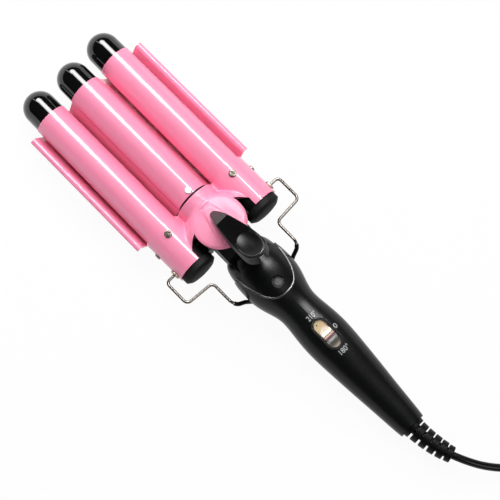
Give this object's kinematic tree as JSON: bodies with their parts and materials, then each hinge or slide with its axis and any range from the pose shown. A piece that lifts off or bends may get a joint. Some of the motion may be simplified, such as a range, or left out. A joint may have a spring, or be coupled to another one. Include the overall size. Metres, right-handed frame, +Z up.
{
  "type": "triple-barrel hair waver",
  "caption": "Hair waver with round barrels nesting in a wave plate, a sprung upper jaw with thumb lever, a slim tapered handle with slide switch, a swing-out wire stand and a coiled mains cord.",
  "frame": {"origin": "on the resting surface, under the centre of the tool's bounding box without its cord", "axes": "+X from the barrel tips towards the handle and cord, +Y across the barrels, +Z up from the resting surface"},
  "size_m": [0.5737, 0.1323, 0.0771],
  "materials": {
    "coated_pink": "smooth pink ceramic-look coating, satin gloss",
    "moulded_pink": "pink moulding, satin gloss",
    "black_gloss": "polished black",
    "black_satin": "black, soft satin",
    "steel_wire": "bright drawn wire",
    "screw_steel": "plated",
    "aluminium": "mill",
    "ceramic": "white ceramic",
    "board_green": "green board",
    "brass_plate": "brushed",
    "lens_grey": "smoked lens",
    "cord_black": "satin sheath",
    "tie_black": "strap",
    "pin_brass": "nickel-plated"
  },
  "bodies": {
    "handle": {"center_barrel_screw": "screw_steel", "center_heat_spreaders": "aluminium", "center_heater": "ceramic", "center_tip": "black_gloss", "circuit_board": "board_green", "cord": "cord_black", "cord_coil": "cord_black", "cord_tail": "cord_black", "cord_tie": "tie_black", "handle_lower_shell": "black_satin", "handle_screws": "screw_steel", "handle_upper_shell": "black_satin", "hinge_pin": "screw_steel", "housing_cover": "black_satin", "indicator_lens": "lens_grey", "lower_jaw": "coated_pink", "neck": "black_satin", "plug_body": "cord_black", "plug_pins": "pin_brass", "return_spring": "screw_steel", "strain_relief": "cord_black", "switch_body": "black_satin", "switch_plate": "brass_plate"},
    "upper_jaw": {"bridge_shell": "moulded_pink", "under_frame": "black_satin", "collar_screws": "screw_steel", "thumb_lever": "black_gloss", "stand_washers": "black_satin", "left_barrel": "coated_pink", "left_tip": "black_gloss", "left_heater": "ceramic", "left_heat_spreaders": "aluminium", "left_end_cap": "black_gloss", "right_barrel": "coated_pink", "right_tip": "black_gloss", "right_heater": "ceramic", "right_heat_spreaders": "aluminium", "right_end_cap": "black_gloss"},
    "stand": {"stand_wire": "steel_wire", "stand_sleeve": "black_satin"},
    "switch": {"switch_slider": "brass_plate"}
  },
  "joints": [
    {"name": "jaw_hinge", "type": "hinge", "parent": "handle", "child": "upper_jaw", "pos_m": [-0.03027, 0, 0.03073], "axis": [0, 1, 0], "range_deg": [0, 20], "stiffness_Nm_per_rad": 0.8, "springref_deg": -25.78, "deforming": ["return_spring"]},
    {"name": "stand_swing", "type": "hinge", "parent": "upper_jaw", "child": "stand", "pos_m": [-0.02767, 0, 0.02336], "axis": [0, 1, 0], "range_deg": [0, 100]},
    {"name": "switch_slide", "type": "slide", "parent": "handle", "child": "switch", "axis": [0.9983, 0, -0.0591], "range_m": [-0.0045, 0.0045]}
  ]
}
